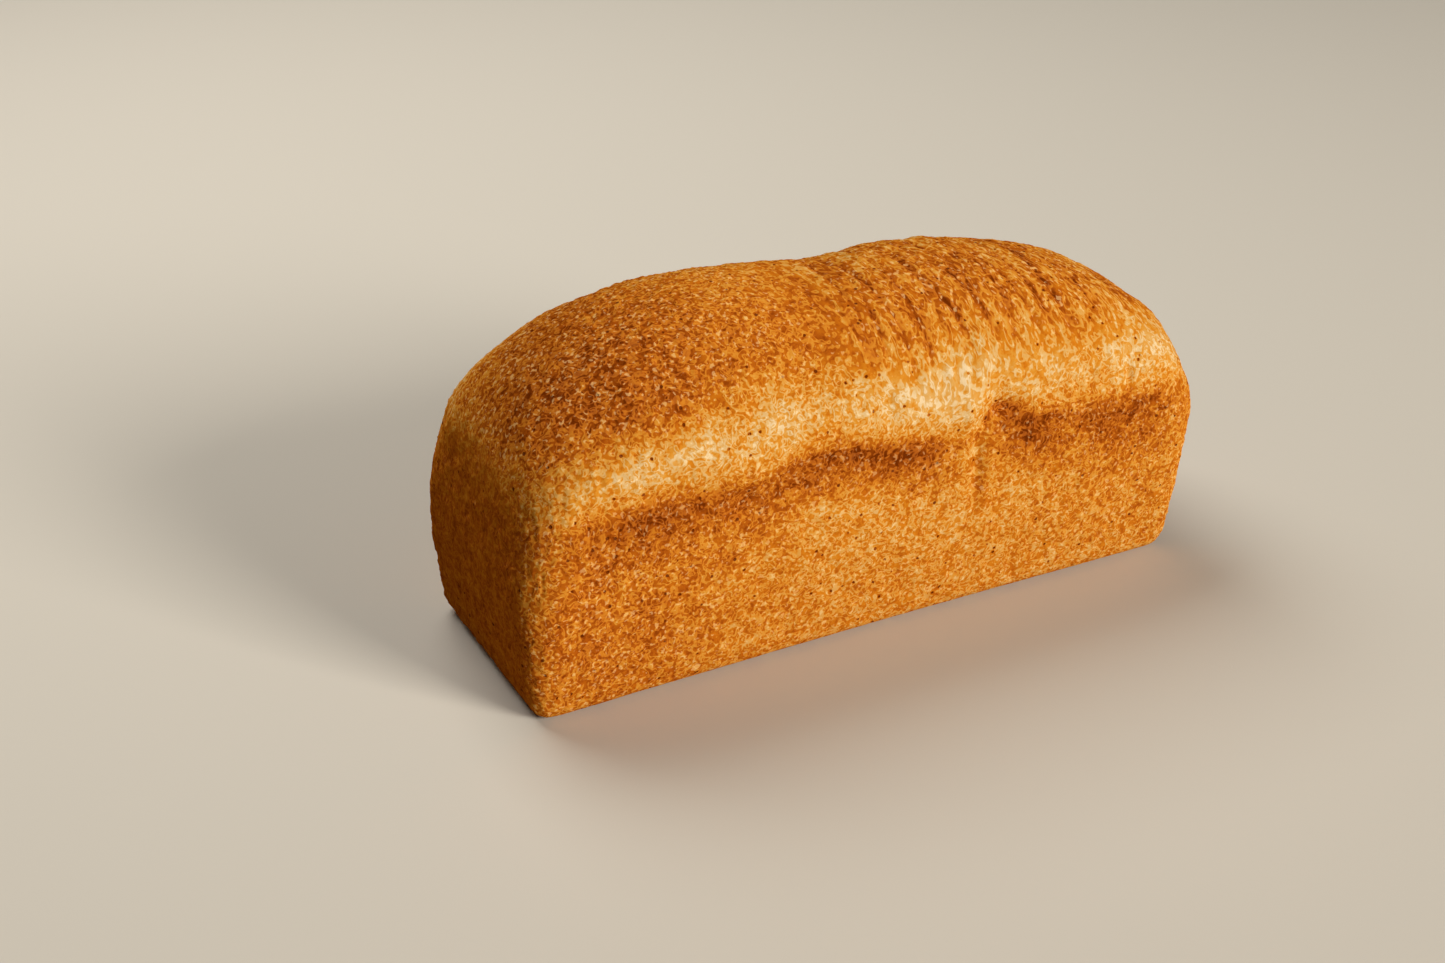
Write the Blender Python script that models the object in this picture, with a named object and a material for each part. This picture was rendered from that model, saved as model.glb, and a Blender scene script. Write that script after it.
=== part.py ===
"""A loaf of white bread that was baked in a long tin: one solid piece, uncut.

The loaf stands on its flat base, with +X along its length, +Y across it and +Z up. Up to the
tin's rim its walls are those of the tin: they lean out, and the dough has shrunk from them a
little. Above the rim it rose freely, into a dome with two humps, a saddle between them and
folds across its right half.

The solid is a cube with loop cuts. Its rows become the foot, the walls and the dome, and each
of its points is moved to the place that the functions below work out for it.
"""

from math import cos, exp, hypot, pi, radians, sin

import bmesh
import bpy
from mathutils import Vector, noise

MM = 0.001

# The tin's part of the loaf.
BASE_LENGTH = 278 * MM
BASE_WIDTH = 93.4 * MM
RIM_HEIGHT = 76 * MM
SIDE_DRAFT = 7 * MM  # what a long wall leans out, from the base to the rim
LEFT_DRAFT = 2.3 * MM
RIGHT_DRAFT = 7.3 * MM
SIDE_BELLY = 1.8 * MM  # what a wall bulges past its straight line, halfway up
LEFT_BELLY = 3.2 * MM
RIGHT_BELLY = 1.3 * MM
WAIST = 1.6 * MM  # what the long walls draw in at the middle of the base
FOOT_RADIUS = 5.2 * MM
BASE_CORNER = 6.4 * MM  # radii of the upright corners
RIM_CORNER = 18.2 * MM
RIGHT_END = 25 * MM  # how far from the right end the lip and the nick fade away
RIGHT_LIP = (66.2 * MM, 6 * MM, 3.4 * MM)  # spilled on the rim: height, reach and depth
RIGHT_NICK = (86.2 * MM, 10 * MM, 3.2 * MM)  # drawn in above the lip

# The dome.
DOME_HEIGHT = 55.7 * MM
DOME_SLOPE = -4.7 * MM  # the top line's fall from the middle to the right end
LENGTH_POWER = 2.45  # of the superellipses that close the dome lengthwise and across
WIDTH_POWER = 2.39
LEFT_HUMP = (-78 * MM, 47 * MM, 6.2 * MM)  # place along X, reach and height
RIGHT_HUMP = (55 * MM, 39 * MM, 1.8 * MM)
SADDLE = (5.7 * MM, 16 * MM, 2.4 * MM)
SADDLE_SLANT = 0.55  # the saddle runs aslant: its place moves this much for each mm across
SADDLE_LINE = 20 * MM  # where across the loaf it has the place given above

# The crease that the tin's rim left along each side: it wanders, and steps up once.
CREASE_HEIGHT = 80 * MM
CREASE_RISE = (-100 * MM, 25 * MM, 4 * MM)  # place along X, reach and height
CREASE_DIP = (-54 * MM, 16 * MM, 5 * MM)
CREASE_STEP = (40 * MM, 8 * MM, 8 * MM)  # place, length and height
CREASE_FALL = (120 * MM, 60 * MM, 8 * MM)
CREASE = (0 * MM, 5 * MM, 1.5 * MM)  # height over the crease's line, reach and depth
SPRING = (15 * MM, 10 * MM, 1.3 * MM)  # the pale swelling over it
POCKET_PLACE, POCKET_LENGTH = 49 * MM, 7 * MM
POCKET = (-4 * MM, 6 * MM, 3 * MM)  # the hollow under the step
FLAP_PLACE, FLAP_LENGTH = 34 * MM, 6 * MM
FLAP = (8 * MM, 10 * MM, 1.6 * MM)  # the skin beside it that hangs over the rim
CREASED_FROM, CREASED_FULLY = 30 * MM, 60 * MM  # heights

# Folds and unevenness.
FOLD_DEPTH = 1.1 * MM
FOLD_PITCH = 10 * MM
FOLD_LENGTH = 110 * MM
FOLDS_FROM, FOLDS_TO, FOLDS_FADE = 8 * MM, 112 * MM, 30 * MM  # along X
FOLDS_LOW, FOLDS_HIGH = 94 * MM, 128 * MM  # heights where they start and are full
SWELL, SWELL_SIZE = 1.1 * MM, 48 * MM  # depth and size of the slow unevenness
LUMP, LUMP_SIZE = 0.45 * MM, 15 * MM
SEED = Vector((3.7, 11.2, 5.9))
BASE_FADE = 8 * MM  # the base stays flat: all relief starts over this height

# Loop cuts.
COLUMNS, COLUMN_GATHER = 66, 0.25  # along the loaf, a little closer towards the ends
RANKS, RANK_GATHER = 23, 0.4  # across it
FOOT_ROWS, WALL_ROWS, DOME_ROWS = 2, 13, 9
ROWS = FOOT_ROWS + WALL_ROWS + DOME_ROWS
SHOULDER = radians(50)  # the dome's turn from the rim to its uppermost loop cut
SMOOTH_FROM = 60 * MM  # the risen dough is smoothed from this height up, its corners most
SMOOTH_PASSES = 2
CORNER_PASSES = 9

CRUST = (0.52, 0.235, 0.055, 1)


def clamp(value):
    return max(0.0, min(1.0, value))


def ease(value):
    """0 to 1, with a soft start and end."""
    value = clamp(value)
    return value * value * (3 - 2 * value)


def bell(x, place, reach):
    return exp(-(((x - place) / reach) ** 2))


def hump(x, shape):
    place, reach, height = shape
    return height * bell(x, place, reach)


def step(x, shape):
    place, length, height = shape
    return height * ease((x - place) / length + 0.5)


def gathered(t, share):
    """t in -1..1, moved so that the loop cuts lie closer together towards both ends."""
    return (1 - share) * t + share * sin(t * pi / 2)


def dome_height(x, y):
    """How far the top line rises over the rim."""
    height = DOME_HEIGHT + DOME_SLOPE * x / (BASE_LENGTH / 2)
    height += hump(x, LEFT_HUMP) + hump(x, RIGHT_HUMP)
    return height - hump(x - SADDLE_SLANT * (y - SADDLE_LINE), SADDLE)


def rounded_plan(x, y, half_x, half_y, radius):
    """A point of a rectangle's outline, moved on to the outline with round corners."""
    over_x = max(abs(x) - (half_x - radius), 0)
    over_y = max(abs(y) - (half_y - radius), 0)
    reach = hypot(over_x, over_y)
    if over_x == 0 or over_y == 0:
        return x, y
    scale = max(over_x, over_y) / reach
    new_x = half_x - radius + over_x * scale
    new_y = half_y - radius + over_y * scale
    return (new_x if x > 0 else -new_x), (new_y if y > 0 else -new_y)


def cage_to_loaf(a, b, row):
    """The smooth loaf's point for a cage point: a and b in -1..1, row counted from the base."""
    end_draft, end_belly = (LEFT_DRAFT, LEFT_BELLY) if a < 0 else (RIGHT_DRAFT, RIGHT_BELLY)
    across_x = gathered(a, COLUMN_GATHER)
    across_y = gathered(b, RANK_GATHER)
    if row <= FOOT_ROWS + WALL_ROWS:
        turn = clamp(row / FOOT_ROWS) * pi / 2
        inset = FOOT_RADIUS * (1 - sin(turn))
        z = FOOT_RADIUS * (1 - cos(turn))
        z += clamp((row - FOOT_ROWS) / WALL_ROWS) * (RIM_HEIGHT - FOOT_RADIUS)
        share = z / RIM_HEIGHT
        bulge = 4 * share * (1 - share)
        half_x = BASE_LENGTH / 2 + end_draft * share + end_belly * bulge - inset
        half_y = BASE_WIDTH / 2 + SIDE_DRAFT * share + SIDE_BELLY * bulge - inset
        radius = BASE_CORNER + (RIM_CORNER - BASE_CORNER) * share - inset / 2
        x, y = half_x * across_x, half_y * across_y
    else:
        turn = (row - FOOT_ROWS - WALL_ROWS) / DOME_ROWS * SHOULDER
        half_x = BASE_LENGTH / 2 + end_draft
        half_y = BASE_WIDTH / 2 + SIDE_DRAFT
        radius = RIM_CORNER
        u = across_x * cos(turn) ** (2 / LENGTH_POWER)
        v = across_y * cos(turn) ** (2 / WIDTH_POWER)
        x, y = half_x * u, half_y * v
        closing = (1 - abs(u) ** LENGTH_POWER) ** (1 / LENGTH_POWER)
        closing *= (1 - abs(v) ** WIDTH_POWER) ** (1 / WIDTH_POWER)
        z = RIM_HEIGHT + dome_height(x, y) * closing
    x, y = rounded_plan(x, y, half_x, half_y, radius)
    waist = WAIST / (BASE_WIDTH / 2) * (1 - (2 * x / BASE_LENGTH) ** 2) * clamp(1 - z / RIM_HEIGHT)
    y *= 1 - waist
    at_right = clamp((x - BASE_LENGTH / 2) / RIGHT_END + 1)
    x += at_right * (hump(z, RIGHT_LIP) - hump(z, RIGHT_NICK))
    return Vector((x, y, z))


def crease_height(x):
    height = CREASE_HEIGHT + hump(x, CREASE_RISE) - hump(x, CREASE_DIP)
    return height + step(x, CREASE_STEP) - step(x, CREASE_FALL)


def relief(point, normal):
    """What the surface stands proud of the smooth loaf, less than 0 in creases and folds."""
    x, y, z = point
    along = x if y < 0 else -x  # the far side has the near side's features the other way round
    over = z - crease_height(along)
    height = hump(over, SPRING) - hump(over, CREASE)
    if y < 0:
        height -= hump(over, POCKET) * bell(x, POCKET_PLACE, POCKET_LENGTH)
        height += hump(over, FLAP) * bell(x, FLAP_PLACE, FLAP_LENGTH)
    height *= abs(normal.y) * clamp((z - CREASED_FROM) / (CREASED_FULLY - CREASED_FROM))
    across = Vector((x / FOLD_PITCH, y / FOLD_LENGTH, z / FOLD_LENGTH)) + SEED
    folds = ease((x - FOLDS_FROM) / FOLDS_FADE) * ease((FOLDS_TO - x) / FOLDS_FADE)
    folds *= ease((z - FOLDS_LOW) / (FOLDS_HIGH - FOLDS_LOW))
    height += FOLD_DEPTH * folds * noise.noise(across)
    height += SWELL * noise.noise(point / SWELL_SIZE + SEED)
    height += LUMP * noise.noise(point / LUMP_SIZE - SEED)
    return height


def cut_cube():
    """A cube from -1 to 1 with loop cuts along each of its three directions."""
    bm = bmesh.new()
    bmesh.ops.create_cube(bm, size=2)
    for axis, pieces in enumerate((COLUMNS, RANKS, ROWS)):
        edges = []
        for edge in bm.edges:
            run = edge.verts[1].co - edge.verts[0].co
            if abs(run[axis]) > 1:
                edges.append(edge)
        bmesh.ops.subdivide_edges(bm, edges=edges, cuts=pieces - 1, use_grid_fill=True)
    return bm


def smooth(bm, verts, passes):
    for _ in range(passes):
        bmesh.ops.smooth_vert(
            bm, verts=verts, factor=0.5, use_axis_x=True, use_axis_y=True, use_axis_z=True
        )


def make_loaf():
    bm = cut_cube()
    for vert in bm.verts:
        a, b, c = vert.co
        vert.co = cage_to_loaf(a, b, round((c + 1) / 2 * ROWS))
    risen = [vert for vert in bm.verts if vert.co.z > SMOOTH_FROM]
    corners = []
    for vert in risen:
        near_end = abs(vert.co.x) > BASE_LENGTH / 2 - 2 * RIM_CORNER
        near_side = abs(vert.co.y) > BASE_WIDTH / 2 - RIM_CORNER
        if near_end and near_side:
            corners.append(vert)
    smooth(bm, corners, CORNER_PASSES)
    smooth(bm, risen, SMOOTH_PASSES)
    bm.normal_update()
    moves = []
    for vert in bm.verts:
        off_base = ease(vert.co.z / BASE_FADE)
        moves.append(vert.normal * relief(vert.co, vert.normal) * off_base)
    for vert, move in zip(bm.verts, moves):
        vert.co += move
    base = [face for face in bm.faces if all(abs(v.co.z) < 0.001 * MM for v in face.verts)]
    bmesh.ops.dissolve_faces(bm, faces=base)
    bmesh.ops.triangulate(bm, faces=bm.faces)
    bmesh.ops.recalc_face_normals(bm, faces=bm.faces)
    return bm


def stand_on_origin(bm):
    """Moves the loaf so that the middle of its box's bottom is the origin."""
    for axis in range(2):
        places = [vert.co[axis] for vert in bm.verts]
        middle = (min(places) + max(places)) / 2
        for vert in bm.verts:
            vert.co[axis] -= middle


def crust_material():
    material = bpy.data.materials.new("crust")
    material.use_nodes = True
    shader = material.node_tree.nodes["Principled BSDF"]
    shader.inputs["Base Color"].default_value = CRUST
    shader.inputs["Roughness"].default_value = 0.55
    shader.inputs["Metallic"].default_value = 0.0
    return material


def main():
    for old in list(bpy.data.objects):
        bpy.data.objects.remove(old, do_unlink=True)
    collection = bpy.data.collections.new("tin_loaf")
    bpy.context.scene.collection.children.link(collection)
    bm = make_loaf()
    stand_on_origin(bm)
    mesh = bpy.data.meshes.new("loaf")
    bm.to_mesh(mesh)
    bm.free()
    mesh.shade_smooth()
    mesh.materials.append(crust_material())
    loaf = bpy.data.objects.new("loaf", mesh)
    collection.objects.link(loaf)


main()
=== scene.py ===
# %% [markdown]
# # A loaf from a long tin
#
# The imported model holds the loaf's true form as one solid: a flat base, walls that lean out like
# the tin's, and the dome that rose over its rim. It has about twelve thousand faces, enough for
# the form and too few for a crust. This lesson puts a finer skin over the same form, gives that
# skin the folds and pebbles of real crust, and then paints it the way an oven does.

from math import exp, radians

import bmesh
import bpy
from mathutils import Euler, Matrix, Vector, noise


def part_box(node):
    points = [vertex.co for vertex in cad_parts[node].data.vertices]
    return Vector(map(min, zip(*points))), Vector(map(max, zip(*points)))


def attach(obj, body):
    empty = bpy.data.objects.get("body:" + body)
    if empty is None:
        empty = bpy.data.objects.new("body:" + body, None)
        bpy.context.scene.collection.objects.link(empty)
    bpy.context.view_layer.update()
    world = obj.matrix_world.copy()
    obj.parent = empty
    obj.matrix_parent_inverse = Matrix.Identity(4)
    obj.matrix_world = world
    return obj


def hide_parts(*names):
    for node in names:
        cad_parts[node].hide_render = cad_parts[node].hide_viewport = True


MM = 0.001
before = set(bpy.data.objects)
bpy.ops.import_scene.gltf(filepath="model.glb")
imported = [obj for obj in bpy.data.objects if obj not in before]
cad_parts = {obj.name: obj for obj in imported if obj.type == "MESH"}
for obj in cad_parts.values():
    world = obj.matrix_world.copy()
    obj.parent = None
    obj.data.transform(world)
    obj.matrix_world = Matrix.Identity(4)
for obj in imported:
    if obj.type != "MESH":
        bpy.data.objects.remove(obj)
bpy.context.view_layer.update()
loaf_low, loaf_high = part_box("loaf")
print("loaf of", [round(side / MM, 1) for side in loaf_high - loaf_low], "mm")

# %% [markdown]
# ## The view
#
# The loaf is seen from a step away and from above, past its left end. A lens of about 50 mm on a
# full frame sensor gives the mild perspective of such a view. The camera comes first, because
# each later step is judged through it.

# %% Place the camera
CAMERA_PLACE = (-0.36121, -0.60769, 0.42251)
CAMERA_DIP = 28.31  # degrees under the horizon
CAMERA_TURN = -27.59  # degrees from looking straight along +Y
LENS = 51.07
SENSOR = 36

lens = bpy.data.cameras.new("camera")
lens.lens = LENS
lens.sensor_width = SENSOR
camera = bpy.data.objects.new("camera", lens)
camera.location = CAMERA_PLACE
camera.rotation_euler = Euler((radians(90 - CAMERA_DIP), 0, radians(CAMERA_TURN)))
bpy.context.scene.collection.objects.link(camera)
bpy.context.scene.camera = camera
print("camera", round(camera.location.length, 3), "m from the loaf's foot")

# %% [markdown]
# ## Soft steps and bells
#
# Nothing on a loaf starts or stops at a sharp line. A shape along it is either a soft step or a
# bell, so a few small functions of one number describe them all. A curve drawn by hand would do
# as well, but it is harder to read and to change.

# %% Write the small functions that each later step uses


def clamp(value):
    return max(0.0, min(1.0, value))


def ramp(value, low, high):
    """0 up to low, 1 from high on, with a soft start and end."""
    share = clamp((value - low) / (high - low))
    return share * share * (3 - 2 * share)


def mix(a, b, share):
    return a + (b - a) * share


def bell(value, place, reach):
    return exp(-(((value - place) / reach) ** 2))


def hump(value, shape):
    place, reach, height = shape
    return height * bell(value, place, reach)


def step(value, shape):
    place, length, height = shape
    return height * ramp(value, place - length / 2, place + length / 2)


print("half way up a step:", step(0, (0, 1, 1)))

# %% [markdown]
# ## Where the oven left its marks
#
# The tin's rim left a crease along each long side. It wanders up and down, and it steps up once.
# Over it the dough swelled out of the tin and stayed pale; under it lies a brown band. Relief and
# colour both follow this one line, so it is a function of the place along the loaf.

# %% Describe the crease
CREASE_HEIGHT = 80 * MM
CREASE_RISE = (-100 * MM, 25 * MM, 4 * MM)  # place along X, reach and height
CREASE_DIP = (-54 * MM, 16 * MM, 5 * MM)
CREASE_STEP = (40 * MM, 8 * MM, 8 * MM)  # place, length and height
CREASE_FALL = (120 * MM, 60 * MM, 8 * MM)


def crease_height(along):
    height = CREASE_HEIGHT + hump(along, CREASE_RISE) - hump(along, CREASE_DIP)
    return height + step(along, CREASE_STEP) - step(along, CREASE_FALL)


def along_side(point):
    """The place along a side: the far side has the near side's marks the other way round."""
    return point.x if point.y < 0 else -point.x


def over_crease(point):
    return point.z - crease_height(along_side(point))


print("crease from", round(crease_height(-0.1) / MM), "to", round(crease_height(0.08) / MM), "mm")

# %% [markdown]
# ## A finer skin
#
# A voxel remesh would be the quick way to a dense mesh, but its cells lie across the form and
# leave steps on shallow slopes. The solid was built from a grid, so its triangles pair up into
# quads again, and two rounds of subdivision turn each quad into sixteen that follow the form.
# The base is left out of this. It is flat, so one face closes it at the end.

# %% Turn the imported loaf's triangles into quads and subdivide them
MERGE = 0.001 * MM
FLAT = 0.05 * MM  # under this height a face belongs to the base
PAIR_ANGLE = radians(80)  # how far from flat and from square a pair of triangles may be
SKIN_LEVELS = 2


def quad_cage():
    """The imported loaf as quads, open at its base."""
    bm = bmesh.new()
    bm.from_mesh(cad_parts["loaf"].data)
    bmesh.ops.remove_doubles(bm, verts=bm.verts, dist=MERGE)
    base = [face for face in bm.faces if all(vert.co.z < FLAT for vert in face.verts)]
    bmesh.ops.delete(bm, geom=base, context="FACES")
    bmesh.ops.join_triangles(
        bm,
        faces=bm.faces,
        angle_face_threshold=PAIR_ANGLE,
        angle_shape_threshold=PAIR_ANGLE,
    )
    return bm


def subdivided(bm, levels):
    """A mesh with each quad of the cage split, and smoothed the way Subdivision Surface does."""
    cage = bpy.data.meshes.new("cage")
    bm.to_mesh(cage)
    holder = bpy.data.objects.new("cage", cage)
    bpy.context.scene.collection.objects.link(holder)
    modifier = holder.modifiers.new("subdivision", "SUBSURF")
    modifier.levels = levels
    modifier.render_levels = levels
    evaluated = holder.evaluated_get(bpy.context.evaluated_depsgraph_get())
    mesh = bpy.data.meshes.new_from_object(evaluated)
    bpy.data.objects.remove(holder)
    bpy.data.meshes.remove(cage)
    return mesh


cage = quad_cage()
sides = [len(face.verts) for face in cage.faces]
print("cage:", sides.count(4), "quads and", sides.count(3), "triangles")
skin = subdivided(cage, SKIN_LEVELS)
cage.free()
print("skin:", len(skin.polygons), "faces")

# %% [markdown]
# ## Where the skin was drawn
#
# While the loaf rose, the skin over its right half was drawn into narrow folds that run down the
# side, with a few thin grooves over the top. The left half stayed even. The folds are noise that
# is stretched across the loaf, and the grooves are the lines where such noise changes sign. One
# number, the pull, says how much a spot has of both, and the paint will read it as well.

# %% Describe the drawn skin, its folds and its grooves
SEED = Vector((17.3, 4.1, 9.7))
DRAWN_ALONG = (-48 * MM, 12 * MM)  # between these places along the loaf the drawing sets in
DRAWN_OVER, DRAWN_RISE = 4 * MM, 24 * MM  # where it starts over the crease, and how softly
DRAWN_CORNER, DRAWN_SLOPE = 20 * MM, 0.5  # left of this place it starts higher, by this slope
FOLD_SIZE, FOLD_LONG = 4.6 * MM, 8
GROOVE_SIZE, GROOVE_LONG = 11 * MM, 9
GROOVE_THIN = 8
GROOVE_RISE = (102 * MM, 118 * MM)  # between these heights the grooves set in


def drawn(point):
    """1 where the skin was drawn into folds, over the right half of the dome."""
    start = DRAWN_OVER + DRAWN_SLOPE * max(0, DRAWN_CORNER - point.x)
    risen = ramp(over_crease(point), start, start + DRAWN_RISE)
    return ramp(point.x, *DRAWN_ALONG) * risen


def stretched(point, longer, size):
    """The point's place in a noise that is longer down the sides than along the loaf."""
    return Vector((point.x, point.y / longer, point.z / longer)) / size


def folds(point):
    """More than 0 on the narrow folds that run down the drawn skin, less between them."""
    return noise.noise(stretched(point, FOLD_LONG, FOLD_SIZE) - SEED)


def grooves(point):
    """1 along the few thin grooves over the top of the drawn skin, 0 away from them."""
    change = abs(noise.noise(stretched(point, GROOVE_LONG, GROOVE_SIZE) + SEED))
    line = max(0.0, 1 - GROOVE_THIN * change)
    return line * drawn(point) * ramp(point.z, *GROOVE_RISE)


pulls = [drawn(vert.co) for vert in skin.vertices]
print("drawn skin on", round(100 * sum(pulls) / len(pulls)), "% of the points")

# %% [markdown]
# ## Pockets and dents
#
# The crease ends deep under its step, where the swelling folded over it, and the walls have a few
# shallow pinches where they clung to the tin. There are only a handful, and each has its place,
# so they are listed one by one, and a bell gives each its soft sides.

# %% Describe the pocket and the dents
POCKET_PLACE, POCKET_LENGTH = 47 * MM, 10 * MM
POCKET = (-2.2 * MM, 2.6 * MM, 1.9 * MM)  # height over the crease, reach and depth
DENTS = (  # place along the side, height, reach along and up, and depth
    (105 * MM, 86 * MM, 1.6 * MM, 6 * MM, 1.1 * MM),
    (36 * MM, 66 * MM, 2.6 * MM, 13 * MM, 2.0 * MM),
    (84 * MM, 72 * MM, 2.6 * MM, 9 * MM, 0.6 * MM),
    (-62 * MM, 73 * MM, 4.5 * MM, 5 * MM, 1.0 * MM),
    (-3 * MM, 98 * MM, 3 * MM, 7 * MM, 0.9 * MM),
)


def pocket(point):
    """The deep end of the crease, tucked in under its step."""
    return hump(over_crease(point), POCKET) * bell(along_side(point), POCKET_PLACE, POCKET_LENGTH)


def spot(point, shape):
    """A soft spot on a long side, as strong in its middle as its last number says."""
    place, height, reach, tall, strength = shape
    return strength * bell(along_side(point), place, reach) * bell(point.z, height, tall)


print("one pocket and", len(DENTS), "dents on each side")

# %% [markdown]
# ## Relief that catches the light
#
# Crust isn't smooth. The walls took a pebbly grain from the tin, and the risen top has curly
# ridges. Bump in the material would be the quick way, but it can't show on the outline and it
# isn't in the mesh. So every point moves along its own normal by the sum of a few layers of noise
# and of the folds, grooves and dents. The base stays flat, because the loaf stands on it.

# %% Add the relief to the skin
BASE_FADE = 7 * MM  # the relief grows from nothing at the base to full at this height
SPREAD = 0.12 * MM  # what subdivision took off the form
LUMP, LUMP_SIZE = 0.32 * MM, 9 * MM
PEBBLE, PEBBLE_SIZE = 0.8 * MM, 4.4 * MM
PEBBLE_TOP = 0.5  # how far in from its edge a pebble goes on rising, in cells
PEBBLE_LOSS = 0.7  # how much of the pebbles the drawn skin lost
CURL, CURL_SIZE = 0.38 * MM, 3.4 * MM
CURL_THIN = 3.2
CURL_MIDDLE = 0.45  # the mean of a layer of curls, which mustn't thicken the loaf
STRETCH = 2.4  # how much longer than wide the curls are on the drawn skin
FOLD = 1.3 * MM
FOLD_FLAT, FOLD_LOSS = (98 * MM, 118 * MM), 0.85  # between these heights folds lose this share
GROOVE = 0.6 * MM


def pebbles(point):
    """A net of cells: high inside each, low where two meet."""
    nearest, second = noise.voronoi(point / PEBBLE_SIZE + SEED)[0][:2]
    return min(second - nearest, PEBBLE_TOP) - PEBBLE_TOP / 2


def curl(place):
    """1 on the curling lines where noise changes sign, 0 between them."""
    return 1 - min(1.0, abs(noise.noise(place)) * CURL_THIN)


def curls(point, pull):
    even = curl(point / CURL_SIZE - SEED)
    long_way = curl(stretched(point, STRETCH, CURL_SIZE) + SEED)
    return mix(even, long_way, pull) - CURL_MIDDLE


def relief(point, normal):
    """What the crust stands proud of the smooth form, less than 0 in folds and dents."""
    pull = drawn(point)
    height = SPREAD + LUMP * noise.noise(point / LUMP_SIZE + SEED)
    height += PEBBLE * pebbles(point) * (1 - PEBBLE_LOSS * pull)
    height += CURL * curls(point, pull)
    height += FOLD * folds(point) * pull * (1 - FOLD_LOSS * ramp(point.z, *FOLD_FLAT))
    height -= GROOVE * grooves(point)
    sunk = pocket(point) + sum(spot(point, shape) for shape in DENTS)
    return height - sunk * abs(normal.y)


def add_relief(mesh):
    """Moves every point once all moves are known, as a moved point turns its neighbours' normals."""
    places, moves = [], []
    for vert in mesh.vertices:
        move = relief(vert.co, vert.normal) * ramp(vert.co.z, 0, BASE_FADE)
        moves.append(move)
        places.extend(vert.co + vert.normal * move)
    mesh.vertices.foreach_set("co", places)
    mesh.update()
    return min(moves), max(moves)


lowest, highest = add_relief(skin)
print("relief from", round(lowest / MM, 2), "to", round(highest / MM, 2), "mm")

# %% [markdown]
# ## Close the base
#
# The tin's floor left the base flat. The open edge is one loop, so a single face fills it. A grid
# of faces would do too, but there is no relief on the base for it to carry.

# %% Fill the base and make the loaf's object


def close_base(mesh):
    bm = bmesh.new()
    bm.from_mesh(mesh)
    edge = [e for e in bm.edges if e.is_boundary]
    for vert in {v for e in edge for v in e.verts}:
        vert.co.z = 0
    bmesh.ops.contextual_create(bm, geom=edge)
    bmesh.ops.recalc_face_normals(bm, faces=bm.faces)
    bm.to_mesh(mesh)
    bm.free()


close_base(skin)
skin.name = "loaf_crust"
skin.shade_smooth()
loaf = bpy.data.objects.new("loaf_crust", skin)
bpy.context.scene.collection.objects.link(loaf)
triangles = sum(len(face.vertices) - 2 for face in skin.polygons)
print("crust:", triangles, "triangles")

# %% [markdown]
# ## How far each spot is baked
#
# Crust browns along one scale, from pale cream through gold to dark brown, and what differs from
# spot to spot is how far it got. The walls took an even gold from the tin, the ends are painted a
# deeper brown as shade, and the swelling over the rim stayed pale. Masks in the material could mix
# these zones, but they would have to find the crease again. Here it is known, so each vertex gets
# a number.

# %% Bake the walls, the ends and the swelling
WANDER_SIZE = 16 * MM
WALL_BAKE, WALL_UNEVEN = 0.43, 0.05
SIDE_TURN = (0.10, 0.65)  # between these parts of a normal an end turns into a long side
END_SHADED_BAKE = (0.66, 0.64)  # at the base and at the shoulder; browner than the walls as painted shade
END_RISE = (62 * MM, 94 * MM)  # where the one turns into the other
PALE_BAKE, PALE_UNEVEN = 0.28, 0.06
PALE_EDGE = (-4.25 * MM, 12.75 * MM)  # over the band's upper line, where the pale skin sets in
PALE_ON_ENDS = 0.35  # how much of it the ends have
BAND_SHIFTS = (  # place, reach, and how far over the crease the band's upper line lies
    (-35 * MM, 46 * MM, 12 * MM),
    (92 * MM, 50 * MM, -5 * MM),
)


def wander_at(point):
    """A slow wave between -1 and 1, which keeps each zone and its edge uneven."""
    return noise.noise(point / WANDER_SIZE + SEED)


def side_of(normal):
    """1 on the long sides, 0 on the ends and on top."""
    return ramp(abs(normal.y), *SIDE_TURN)


def over_band(point):
    """The height over the line where the brown band ends and the pale skin starts."""
    return over_crease(point) - sum(hump(along_side(point), shift) for shift in BAND_SHIFTS)


def walls_and_swelling(point, side, wander):
    end = mix(*END_SHADED_BAKE, ramp(point.z, *END_RISE))
    wall = mix(end, WALL_BAKE, side) + WALL_UNEVEN * wander
    pale = PALE_BAKE + PALE_UNEVEN * wander
    above = ramp(over_band(point), *PALE_EDGE)
    return mix(wall, pale, above * mix(PALE_ON_ENDS, 1, side))


middle = Vector((0, loaf_low.y, CREASE_HEIGHT / 2))
print("bake half way up a wall:", round(walls_and_swelling(middle, 1, wander_at(middle)), 2))

# %% [markdown]
# ## The brown top
#
# The top of the dome was nearest the heat. It is brownest over the left hump, and a little paler
# past the ridge. Its lower edge isn't level: the pale skin reaches higher over the middle of each
# hump and on the far side. A mask from how far a spot faces up would be shorter, but it can't
# reach further down on one hump than on the other. So the edge is a height of its own, which
# changes along and across the loaf.

# %% Bake the top
TOP_BAKE = 0.56
TOP_LEFT = (-112 * MM, 44 * MM, 0.19)  # place, reach, and how much browner the left hump is
TOP_FADE, TOP_WANDER = 26 * MM, 3.12 * MM
BACK_BAKE, BACK_FADE = -0.08, (-24 * MM, 14 * MM)  # across the loaf, where the paler part sets in
PALE_TOP = 107 * MM
PALE_BACK = 0.4  # how much higher the pale skin reaches for each mm across to the far side
PALE_RISES = (  # place, reach, and how much higher the pale skin reaches there
    (44 * MM, 42 * MM, 7 * MM),
    (-45 * MM, 26 * MM, 6 * MM),
    (-135 * MM, 22 * MM, -12 * MM),
)


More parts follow.
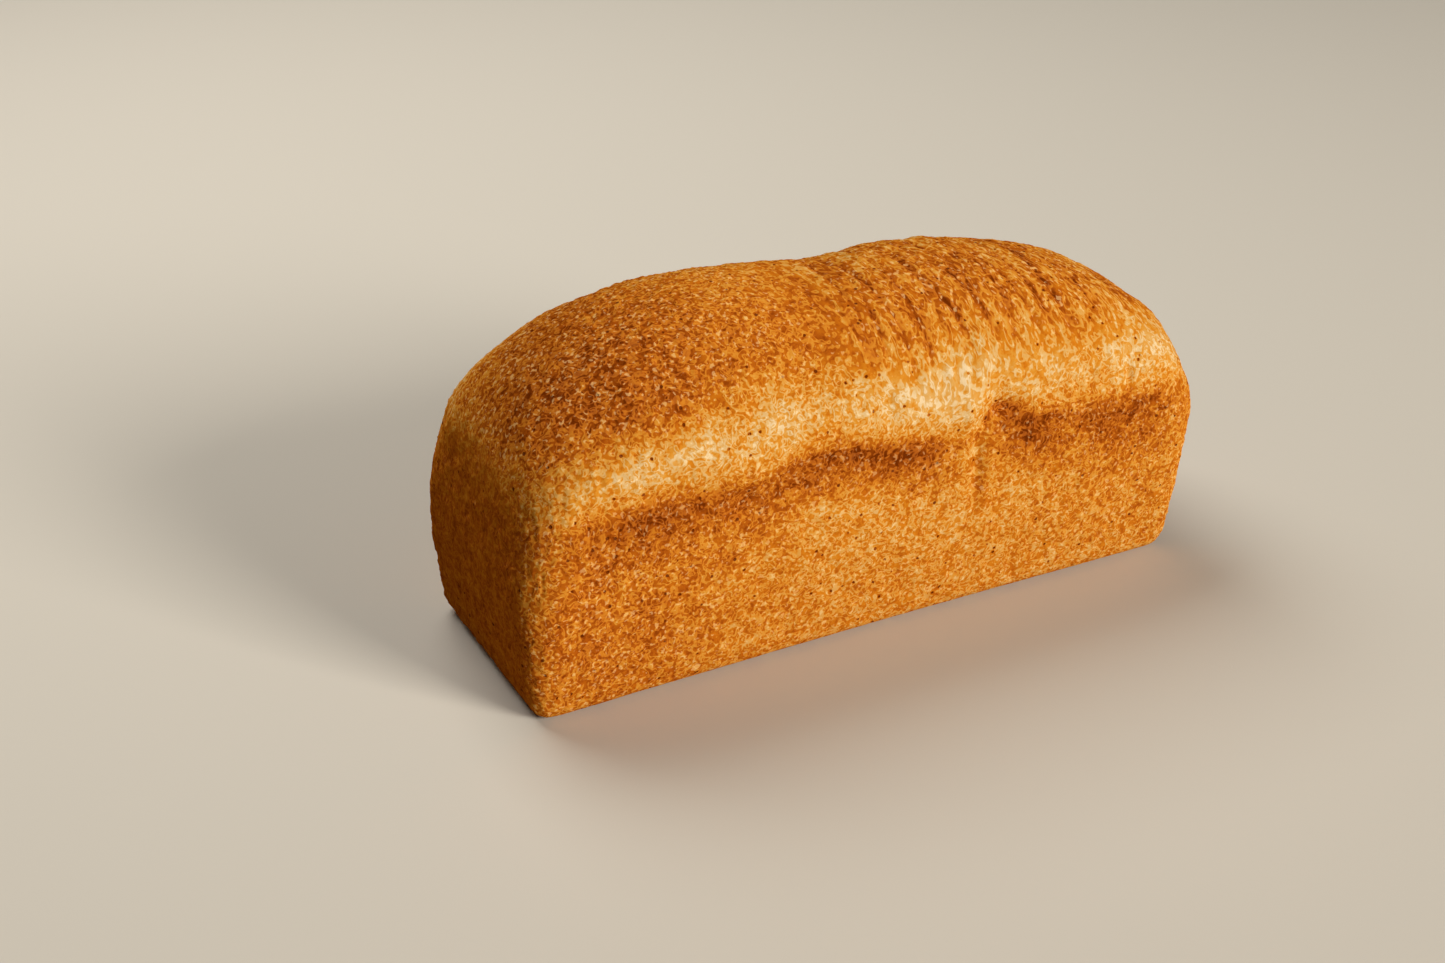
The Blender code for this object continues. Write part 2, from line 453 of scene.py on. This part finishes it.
def with_top(bake, point, wander):
    """The bake with the brown top over it."""
    edge = PALE_TOP + sum(hump(point.x, swell) for swell in PALE_RISES)
    edge += PALE_BACK * max(point.y, 0)
    top = ramp(point.z + TOP_WANDER * wander, edge - TOP_FADE / 2, edge + TOP_FADE / 2)
    brown = TOP_BAKE + BACK_BAKE * ramp(point.y, *BACK_FADE) + hump(point.x, TOP_LEFT)
    return mix(bake, brown, top)


summit = Vector((TOP_LEFT[0], 0, loaf_high.z))
print("bake on the left hump:", round(with_top(0, summit, wander_at(summit)), 2))

# %% [markdown]
# ## The band under the crease
#
# Under the rim the swelling's edge caught the heat, so a brown band runs along each side. It comes
# and goes, and it is broken where the crease steps up. Noise could break it up, but not in the
# right places, so a list of bells gives the stretches where it shows. Soft edges above and below
# let it run out into the skin round it.

# %% Bake the band
BAND_BAKE = 0.85
BAND_EDGE = 10 * MM  # how softly it sets in under its upper line
BAND_WANDER = 2 * MM
BAND_DEPTH, BAND_FADE = 6 * MM, 27 * MM  # how tall it is, and over how much more it runs out
BAND_TALLER = (108 * MM, 45 * MM, 16 * MM)
BAND_PLACES = (  # place, reach and strength
    (-96 * MM, 30 * MM, 0.85),
    (-25 * MM, 36 * MM, 0.85),
    (10 * MM, 17 * MM, 0.6),
    (58 * MM, 16 * MM, 0.85),
    (100 * MM, 30 * MM, 0.75),
)


def band_of(point, normal):
    """1 in the brown band under the crease."""
    along = along_side(point)
    strength = min(1.0, sum(hump(along, place) for place in BAND_PLACES))
    under = BAND_WANDER * (wander_at(point) + 1) - over_band(point)
    end = BAND_DEPTH + BAND_FADE + hump(along, BAND_TALLER)
    inside = ramp(under, 0, BAND_EDGE) * (1 - ramp(under, BAND_DEPTH, end))
    return inside * strength * side_of(normal)


bands = [band_of(vert.co, vert.normal) for vert in skin.vertices]
print("the band's strongest spot:", round(max(bands), 2))

# %% [markdown]
# ## All of the bake in one number
#
# Real crust has patches that no rule explains: a darker corner, a pale stretch on a hump. They are
# few, so they are listed like the dents; one of them is painted shade in a dent. Grooves and the
# pocket are painted darker inside as shade, and the folds are painted lighter on their crests and
# darker between, as light and shade. The sum goes to the mesh as an attribute, next to the pull and
# the lit share. The lit share is 0 on the ends, which get painted shade, and a little less than 1
# in the band under the swelling, which gets some too.

# %% Add up the bake and keep it on the mesh
FINE_SIZE, FINE_BAKE = 5 * MM, 0.04
BAND_FINE = 0.25  # how much the fine noise changes the band's strength
# painted shade under the swelling: how much of the lit share the band loses
BAND_PAINTED_SHADE = 0.3
# painted shade inside the pocket and the grooves
POCKET_PAINTED_SHADE = 0.35
GROOVE_PAINTED_SHADE = 0.22
FOLD_PAINTED_LIGHT = 0.16  # painted shade between the folds and painted light on them: how much browner between than on them
LIT_TURN, LIT_UP = (0.10, 0.55), (0.05, 0.45)  # parts of a normal to the side and up that get painted light
PATCHES = (  # place along the side, height, reach along and up, and how much browner
    (-115 * MM, 38 * MM, 56 * MM, 46 * MM, 0.19),
    (112 * MM, 38 * MM, 40 * MM, 30 * MM, 0.05),
    (-60 * MM, 67 * MM, 9 * MM, 11 * MM, 0.14),
    (-152 * MM, 90 * MM, 26 * MM, 22 * MM, 0.02),
    (33 * MM, 72 * MM, 8 * MM, 14 * MM, -0.13),
    # painted shade in the dent under the step
    (38 * MM, 58 * MM, 2.5 * MM, 7 * MM, 0.18),
    (-5 * MM, 48 * MM, 62 * MM, 20 * MM, -0.06),
    (14 * MM, 101 * MM, 26 * MM, 15 * MM, -0.18),
    (-46 * MM, 106 * MM, 18 * MM, 14 * MM, -0.10),
    (118 * MM, 100 * MM, 20 * MM, 16 * MM, -0.12),
    (-102 * MM, 98 * MM, 32 * MM, 11 * MM, -0.16),
    (-20 * MM, 62 * MM, 14 * MM, 5 * MM, -0.12),
)


def bake_of(point, normal, band):
    wander = wander_at(point)
    fine = noise.noise(point / FINE_SIZE - SEED)
    side = side_of(normal)
    bake = walls_and_swelling(point, side, wander)
    bake += sum(spot(point, patch) for patch in PATCHES) * side
    bake = with_top(bake, point, wander)
    bake = mix(bake, BAND_BAKE, band * (1 + BAND_FINE * fine))
    # painted shade in the pocket and the grooves
    bake += POCKET_PAINTED_SHADE * pocket(point) / POCKET[2] + GROOVE_PAINTED_SHADE * grooves(point)
    # painted light on the folds' crests, painted shade between them
    bake -= FOLD_PAINTED_LIGHT * folds(point) * drawn(point)
    return clamp(bake + FINE_BAKE * fine)


def lit_share_of(normal, band):
    """Where painted light falls: 0 on the ends, which get painted shade, less than 1 in the band,
    which gets painted shade under the swelling, else 1.
    """
    open_side = max(ramp(abs(normal.y), *LIT_TURN), ramp(normal.z, *LIT_UP))
    return open_side * (1 - BAND_PAINTED_SHADE * band)


def add_attribute(mesh, name, values):
    attribute = mesh.attributes.new(name, "FLOAT", "POINT")
    attribute.data.foreach_set("value", values)


bakes = [bake_of(vert.co, vert.normal, band) for vert, band in zip(skin.vertices, bands)]
add_attribute(skin, "bake", bakes)
add_attribute(skin, "pull", [drawn(vert.co) for vert in skin.vertices])
# the lit share: where painted light falls, and where painted shade lies instead
lit_shares = [lit_share_of(vert.normal, band) for vert, band in zip(skin.vertices, bands)]
add_attribute(skin, "shine", lit_shares)
print("bake from", round(min(bakes), 2), "to", round(max(bakes), 2))

# %% [markdown]
# ## Shader maths in plain Python
#
# The crust's paint is a long sum. Written with nodes it is hard to read, so a small class wraps a
# socket, and its operators add the Math nodes. Every other node comes from one method.

# %% A wire that can be used in expressions


class Wire:
    """An output socket of a node. A sum of wires and numbers adds its Math nodes."""

    def __init__(self, paint, socket):
        self.paint = paint
        self.socket = socket

    def math(self, operation, *values):
        return self.paint.add("Math", {"operation": operation}, dict(enumerate((self, *values))))

    def __add__(self, other):
        return self.math("ADD", other)

    def __sub__(self, other):
        return self.math("SUBTRACT", other)

    def __mul__(self, other):
        return self.math("MULTIPLY", other)

    def __rsub__(self, other):
        return self * -1 + other

    __radd__ = __add__
    __rmul__ = __mul__

    def most(self, other):
        return self.math("MAXIMUM", other)

    def twin(self, output):
        """Another output of the same node."""
        return Wire(self.paint, self.socket.node.outputs[output])


class Paint:
    """A material whose nodes are added one by one."""

    def __init__(self, name):
        self.material = bpy.data.materials.new(name)
        self.material.use_nodes = True
        self.tree = self.material.node_tree
        self.shader = self.tree.nodes["Principled BSDF"]

    def add(self, kind, settings=None, sockets=None, output=0):
        node = self.tree.nodes.new("ShaderNode" + kind)
        for name, value in (settings or {}).items():
            if name == "stops":
                self.set_stops(node.color_ramp, value)
            else:
                setattr(node, name, value)
        for name, value in (sockets or {}).items():
            self.feed(node.inputs[name], value)
        return Wire(self, node.outputs[output])

    def feed(self, target, value):
        if isinstance(value, Wire):
            self.tree.links.new(value.socket, target)
        else:
            target.default_value = value

    def set_stops(self, ramp_of_colours, stops):
        elements = ramp_of_colours.elements
        while len(elements) < len(stops):
            elements.new(1.0)
        for element, (place, colour) in zip(elements, stops):
            element.position = place
            element.color = (*colour, 1)

    def finish(self, **sockets):
        for name, value in sockets.items():
            self.feed(self.shader.inputs[name.replace("_", " ")], value)
        return self.material


print("wires carry", "+ - *")

# %% [markdown]
# ## Noise for the crust
#
# Every small mark on the crust starts as noise or as a net of cells. A noise texture can mix many
# sizes, but a ridge or a bead on real crust has one size, so these have no finer detail in them.
# They are measured in millimetres, and each shape can be checked with a ruler on a real loaf.

# %% Define soft ranges, noise of one size, and dots
BEND = 0.6  # how far noise is bent, so that its shapes aren't round
DOT_CORE = 0.4  # the part of a dot's radius that is full
CHOICE_EDGE = 0.02


def smooth_range(paint, value, low, high):
    """0 up to low, 1 from high on, with a soft start and end."""
    return paint.add(
        "MapRange",
        {"interpolation_type": "SMOOTHSTEP"},
        {"Value": value, "From Min": low, "From Max": high},
    )


def soft_noise(paint, place, spacing, shift):
    """Noise of one size only."""
    parts = {0: place, 1: (1 / spacing,) * 3, 2: shift}
    where = paint.add("VectorMath", {"operation": "MULTIPLY_ADD"}, parts)
    return paint.add("TexNoise", {}, {"Vector": where, "Scale": 1, "Detail": 0, "Distortion": BEND})


def dots(paint, place, spacing, radius, share, uneven):
    """1 inside dots, one in that share of the cells of a loose net, and as uneven as given."""
    distance = paint.add("TexVoronoi", {}, {"Vector": place, "Scale": 1 / spacing}, "Distance")
    chosen = paint.add("SeparateColor", {}, {"Color": distance.twin("Color")}, "Red")
    reach = radius / spacing
    inside = 1 - smooth_range(paint, distance + uneven, DOT_CORE * reach, reach)
    return inside * smooth_range(paint, chosen, 1 - share, 1 - share + CHOICE_EDGE)


print("noise is bent by", BEND, "of its size")

# %% [markdown]
# ## Ridges and beads
#
# Close up, the crust is a tangle of fine light ridges with many small beads between them. A sine
# wave over smooth noise has crests that curl and run beside each other, so two layers of it make
# the ridges, and noise of one small size makes the beads. On the drawn skin both kinds of noise
# are stretched, so there the ridges run down the sides. Stretching the place by a share would
# smear the noise, so an even and a stretched one are both made, and the pull mixes them.

# %% Make the ridges and the beads
RIDGES = (  # spacing in mm, radians of the wave for each unit of noise, start of a crest, height
    (2.1, 12, 0.10, 0.13),
    (3.6, 20, 0.35, 0.10),
)
RIDGE_SHIFT = (31, 17)
CREST_END = 0.95
CURL_LONG = 2.1  # how much longer than wide ridges are on the drawn skin
BEAD_SIZE, BEAD_LONG, BEAD_TALL = 1.45, 1.5, 0.25  # size in mm
BEAD_SHIFT = (3, 7, 1)


def ridges_and_beads(paint, place, pull):
    """The ridges, the beads, and the height of both together."""

    def drawn_noise(spacing, longer, shift):
        """Noise that grows longer down the sides where the skin was drawn."""
        shrink = {0: place, 1: (1, 1 / longer, 1 / longer)}
        long_way = paint.add("VectorMath", {"operation": "MULTIPLY"}, shrink)
        even = soft_noise(paint, place, spacing, shift)
        return even + pull * (soft_noise(paint, long_way, spacing, shift) - even)

    bead = drawn_noise(BEAD_SIZE, BEAD_LONG, BEAD_SHIFT)
    ridges, height = 0.0, bead * BEAD_TALL
    for spacing, turns, start, tall in RIDGES:
        wave = (drawn_noise(spacing, CURL_LONG, (*RIDGE_SHIFT, spacing)) * turns).math("SINE")
        ridges = smooth_range(paint, wave, start, CREST_END).most(ridges)
        height = height + wave * tall
    return ridges, bead, height


print("ridges of", [layer[0] for layer in RIDGES], "mm and beads of", BEAD_SIZE, "mm")

# %% [markdown]
# ## One ramp of browns
#
# Every tone of crust lies on one scale, from cream to dark brown, so a ramp turns the bake into a
# colour. Mixing a pale and a brown material would be simpler, but the tones between the two would
# be ones that crust never has. Only the glints, painted highlights where a bead would turn to the
# light, add a little warm colour of their own. The ends get painted shade, darker than the sides.

# %% Colour the crust
BAKE_STOPS = (
    (0.00, (0.74, 0.56, 0.34)),
    (0.13, (0.66, 0.44, 0.20)),
    (0.26, (0.64, 0.345, 0.093)),
    (0.40, (0.62, 0.258, 0.028)),
    (0.52, (0.57, 0.185, 0.010)),
    (0.64, (0.48, 0.127, 0.006)),
    (0.76, (0.385, 0.087, 0.005)),
    (0.88, (0.27, 0.053, 0.003)),
    (1.00, (0.15, 0.025, 0.001)),
)
# the warm colour of the painted highlights, the glints
PAINTED_GLINT_COLOUR = (1.0, 0.74, 0.34, 1)
PAINTED_SHADE_LEVEL = 0.66  # painted shade: how light the ends are beside the walls at the same bake


def crust_colour(paint, level, painted_highlight, shine):
    """The ramp's colour at that level, with painted glints on it, and darker where painted shade
    falls.
    """
    browned = paint.add("ValToRGB", {"stops": BAKE_STOPS}, {"Fac": level})
    mixed = {"Factor": painted_highlight, "A": browned, "B": PAINTED_GLINT_COLOUR}
    crust = paint.add("Mix", {"data_type": "RGBA"}, mixed, "Result")
    # painted shade: the crust is darker where the lit share is low, on the ends and in the band
    shaded = {0: crust, "Scale": shine * (1 - PAINTED_SHADE_LEVEL) + PAINTED_SHADE_LEVEL}
    return paint.add("VectorMath", {"operation": "SCALE"}, shaded)


print("from pale to burnt in", len(BAKE_STOPS), "colours")

# %% [markdown]
# ## The crust's finish
#
# Ridges are lighter, partly as paler crust and partly as a painted highlight, pits between the
# beads are redder, and pinholes, where gas broke through, are painted dark as the shade inside
# them. Each could be a colour of its own. Here all of them move the bake up and down the ramp,
# which keeps them in tune with the crust round them, pale or brown. Gloss from the shader is off:
# crust is nearly matte, and gloss would lay the lamps' pale colour over the brown, so the glints
# are painted highlights.

# %% Paint the crust
MIDDLE = 0.5  # the mean of a noise texture
SOFT_SCALE, SOFT_DETAIL = 0.22, 3  # waves for each mm, and how many finer ones they carry
# ridges lighter partly as paler crust, partly as a painted highlight; glints are painted highlights
RIDGE_LIGHT, GLINT_LIGHT, PIT_DARK = 0.25, 0.10, 0.11
# pinholes painted dark as the shade inside them, and how much the slow noise moves the bake
HOLE_PAINTED_SHADE, SOFT_BAKE = 0.6, 0.5
MARKS_MIDDLE = 0.12  # what the marks lighten on average, so that the bake stays as it was set
BAKE_SHIFT = 0.03
GLINT_RANGE, PIT_RANGE = (0.63, 0.75), (0.30, 0.46)  # of the bead's noise
HOLE_SPACING, HOLE_RADIUS = 4.6, 0.8  # in mm
HOLE_SHARE, HOLE_UNEVEN = 0.5, 0.1
GLEAM_RIDGE, GLEAM_GLINT, GLEAM_BROWN = 0.02, 0.08, 0.32  # painted highlight: glints show more on browner crust
MARKS_IN_SHADE = 0.55  # how much of the marks the ends keep in their painted shade
BUMP, SOFT_TALL, HOLE_DEEP = 0.14 * MM, 1.6, 1.6
ROUGHNESS, RIDGE_SMOOTH = 0.55, 0.2
CRUST_IOR = 1.4


def attribute(paint, name):
    return paint.add("Attribute", {"attribute_name": name}, output="Fac")


def paint_crust():
    paint = Paint("crust")
    metres = paint.add("TexCoord", output="Object")
    place = paint.add("VectorMath", {"operation": "SCALE"}, {0: metres, "Scale": 1 / MM})
    bake, shine = attribute(paint, "bake"), attribute(paint, "shine")
    ridges, bead, height = ridges_and_beads(paint, place, attribute(paint, "pull"))

    slow = {"Vector": place, "Scale": SOFT_SCALE, "Detail": SOFT_DETAIL}
    soft = paint.add("TexNoise", {}, slow)
    pits = 1 - smooth_range(paint, bead, *PIT_RANGE)
    # painted highlights on the beads' peaks, none where the lit share is 0
    glints = smooth_range(paint, bead, *GLINT_RANGE) * shine
    uneven = (bead - MIDDLE) * HOLE_UNEVEN
    holes = dots(paint, place, HOLE_SPACING, HOLE_RADIUS, HOLE_SHARE, uneven)

    # the marks are weaker in the painted shade of the ends and the band
    marks = shine * (1 - MARKS_IN_SHADE) + MARKS_IN_SHADE
    # ridges are lighter partly as paler crust and partly as a painted highlight
    lighter = ridges * RIDGE_LIGHT + glints * GLINT_LIGHT - pits * PIT_DARK
    level = bake + BAKE_SHIFT + (MARKS_MIDDLE - lighter) * marks
    # pinholes are painted dark, as the shade inside them
    level = level + holes * HOLE_PAINTED_SHADE - (soft - MIDDLE) * SOFT_BAKE
    # painted highlight on the glints and, a little, on the ridges
    painted_highlight = (ridges * GLEAM_RIDGE + glints * (bake * GLEAM_BROWN + GLEAM_GLINT)) * shine
    height = height * marks + soft * SOFT_TALL - holes * HOLE_DEEP
    bump = paint.add("Bump", {}, {"Height": height, "Distance": BUMP, "Strength": 1})
    return paint.finish(
        Base_Color=crust_colour(paint, level, painted_highlight, shine),
        Roughness=ROUGHNESS - ridges * RIDGE_SMOOTH,
        Normal=bump,
        IOR=CRUST_IOR,
        Specular_IOR_Level=0,
    )


loaf.data.materials.clear()
loaf.data.materials.append(paint_crust())
print("crust painted with", len(loaf.data.materials[0].node_tree.nodes), "nodes")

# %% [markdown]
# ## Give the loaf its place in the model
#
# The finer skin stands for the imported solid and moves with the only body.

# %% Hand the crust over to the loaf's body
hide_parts("loaf")
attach(loaf, "root")
print("crust stands for the packed loaf")

# %% [markdown]
# ## Studio
#
# A plain pale floor and soft light show the crust best. The main light stands well off to the
# right and in front, so the long side glows and the left end lies in shade. A weaker one over the
# back lights the dome, and a weak warm one from the left keeps some colour in the shade. A sun
# lamp could take the main light's place, but its light doesn't fall off, and a studio's does.

# %% Build the floor and the lights
FLOOR_SIZE = 6
FLOOR_COLOUR = (0.60, 0.565, 0.51, 1)
FLOOR_ROUGHNESS = 0.9
SKY_COLOUR = (1.0, 0.90, 0.75, 1)
SKY_STRENGTH = 0.015
AIM = Vector((0, 0, 60 * MM))
LIGHTS = (  # name, place and width in metres, power in watts, colour
    ("key", (1.98, -3.99, 1.89), 1.575, 272, (1.0, 0.94, 0.83)),
    ("top", (-0.25, 0.8, 1.3), 1.0, 18, (1.0, 0.96, 0.88)),
    ("fill", (-1.1, -0.7, 0.5), 0.9, 0.3, (1.0, 0.5, 0.15)),
)


def make_floor():
    bm = bmesh.new()
    bmesh.ops.create_grid(bm, x_segments=1, y_segments=1, size=FLOOR_SIZE / 2)
    mesh = bpy.data.meshes.new("floor")
    bm.to_mesh(mesh)
    bm.free()
    finish = Paint("floor").finish(Base_Color=FLOOR_COLOUR, Roughness=FLOOR_ROUGHNESS)
    mesh.materials.append(finish)
    floor = bpy.data.objects.new("floor", mesh)
    bpy.context.scene.collection.objects.link(floor)


def add_light(name, place, width, power, colour):
    data = bpy.data.lights.new(name, "AREA")
    data.size = width
    data.energy = power
    data.color = colour
    light = bpy.data.objects.new(name, data)
    light.location = place
    light.rotation_euler = (Vector(place) - AIM).to_track_quat("Z", "Y").to_euler()
    bpy.context.scene.collection.objects.link(light)


def add_sky():
    world = bpy.data.worlds.new("sky")
    world.use_nodes = True
    background = world.node_tree.nodes["Background"]
    background.inputs["Color"].default_value = SKY_COLOUR
    background.inputs["Strength"].default_value = SKY_STRENGTH
    bpy.context.scene.world = world


make_floor()
for light in LIGHTS:
    add_light(*light)
add_sky()
bpy.context.scene.view_settings.view_transform = "Standard"
print("floor,", len(LIGHTS), "lights and sky in place")
